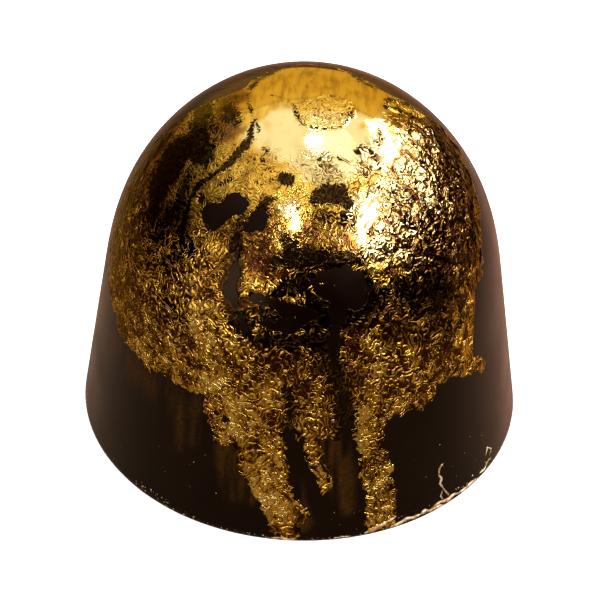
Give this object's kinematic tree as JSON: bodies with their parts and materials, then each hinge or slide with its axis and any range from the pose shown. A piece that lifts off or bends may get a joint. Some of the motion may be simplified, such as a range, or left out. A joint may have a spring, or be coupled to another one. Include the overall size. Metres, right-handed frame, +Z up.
{
  "type": "moulded chocolate praline",
  "caption": "Dark chocolate praline with a drafted round wall, a high domed crown and crackled gold leaf running down its sides.",
  "frame": {"origin": "centre of the flat base that the praline stands on", "axes": "+Z up along the axis it was turned about, -Y the side where the gold leaf runs down to the base"},
  "size_m": [0.029, 0.029, 0.024],
  "materials": {
    "dark_chocolate": "glossy tempered dark chocolate",
    "gold_leaf": "thin crackled edible gold"
  },
  "bodies": {
    "root": {"praline": "dark_chocolate"}
  },
  "joints": []
}
